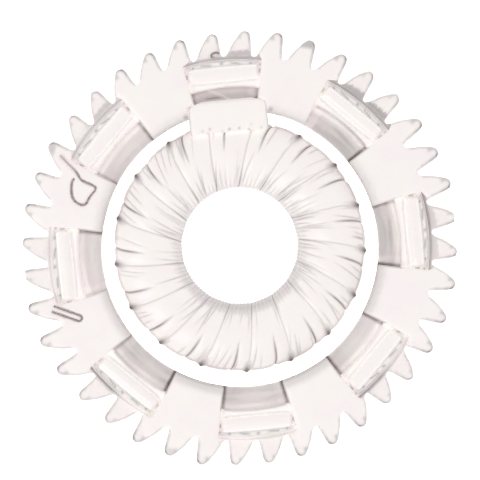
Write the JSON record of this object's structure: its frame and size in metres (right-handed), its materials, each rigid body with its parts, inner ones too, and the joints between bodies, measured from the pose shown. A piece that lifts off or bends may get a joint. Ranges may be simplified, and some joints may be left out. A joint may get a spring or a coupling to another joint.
{
  "type": "film developing reel",
  "caption": "Toothed ring whose capped windows hold barrel guide rollers, with a film-wound inner hub ring hung in its middle from a strap.",
  "frame": {"origin": "on the toothed ring's axis, at its back face", "axes": "+Z along the ring's axis out of its front, +Y from the ring's middle towards the strap"},
  "size_m": [0.0964, 0.0964, 0.009],
  "materials": {
    "milky_plastic": "satin, translucent",
    "roller_plastic": "smooth",
    "film": "pleated film",
    "core_plastic": "plain",
    "steel": "drawn wire"
  },
  "bodies": {
    "ring": {"toothed_ring": "milky_plastic", "bridge_cap_1": "milky_plastic", "bridge_cap_2": "milky_plastic", "bridge_cap_3": "milky_plastic", "bridge_cap_4": "milky_plastic", "bridge_cap_5": "milky_plastic", "bridge_cap_6": "milky_plastic", "bridge_cap_7": "milky_plastic", "bridge_cap_8": "milky_plastic", "roller_axle_1": "steel", "roller_axle_2": "steel", "roller_axle_3": "steel", "roller_axle_4": "steel", "roller_axle_5": "steel", "roller_axle_6": "steel", "roller_axle_7": "steel", "roller_axle_8": "steel", "retaining_wire": "steel", "keeper_loop": "steel", "hairpin_clip": "steel", "strap_tongue": "film", "strap_pin": "steel"},
    "hub": {"strap_clip": "film", "hub_core": "core_plastic", "hub_wrap": "film"},
    "roller_1": {"guide_roller_1": "roller_plastic"},
    "roller_2": {"guide_roller_2": "roller_plastic"},
    "roller_3": {"guide_roller_3": "roller_plastic"},
    "roller_4": {"guide_roller_4": "roller_plastic"},
    "roller_5": {"guide_roller_5": "roller_plastic"},
    "roller_6": {"guide_roller_6": "roller_plastic"},
    "roller_7": {"guide_roller_7": "roller_plastic"},
    "roller_8": {"guide_roller_8": "roller_plastic"}
  },
  "joints": [
    {"name": "roller_1_spin", "type": "hinge", "parent": "ring", "child": "roller_1", "pos_m": [0, 0.03885, 0.0063], "axis": [1, 0, 0], "continuous": true},
    {"name": "roller_2_spin", "type": "hinge", "parent": "ring", "child": "roller_2", "pos_m": [-0.02747, 0.02747, 0.0063], "axis": [0.7071, 0.7071, 0], "continuous": true},
    {"name": "roller_3_spin", "type": "hinge", "parent": "ring", "child": "roller_3", "pos_m": [-0.03885, 0, 0.0063], "axis": [0, 1, 0], "continuous": true},
    {"name": "roller_4_spin", "type": "hinge", "parent": "ring", "child": "roller_4", "pos_m": [-0.02747, -0.02747, 0.0063], "axis": [-0.7071, 0.7071, 0], "continuous": true},
    {"name": "roller_5_spin", "type": "hinge", "parent": "ring", "child": "roller_5", "pos_m": [0, -0.03885, 0.0063], "axis": [-1, 0, 0], "continuous": true},
    {"name": "roller_6_spin", "type": "hinge", "parent": "ring", "child": "roller_6", "pos_m": [0.02747, -0.02747, 0.0063], "axis": [-0.7071, -0.7071, 0], "continuous": true},
    {"name": "roller_7_spin", "type": "hinge", "parent": "ring", "child": "roller_7", "pos_m": [0.03885, 0, 0.0063], "axis": [0, -1, 0], "continuous": true},
    {"name": "roller_8_spin", "type": "hinge", "parent": "ring", "child": "roller_8", "pos_m": [0.02747, 0.02747, 0.0063], "axis": [0.7071, -0.7071, 0], "continuous": true},
    {"name": "hub_swing", "type": "hinge", "parent": "ring", "child": "hub", "pos_m": [0, 0.0298, 0.0091], "axis": [-1, 0, 0], "range_deg": [0, 170]}
  ]
}
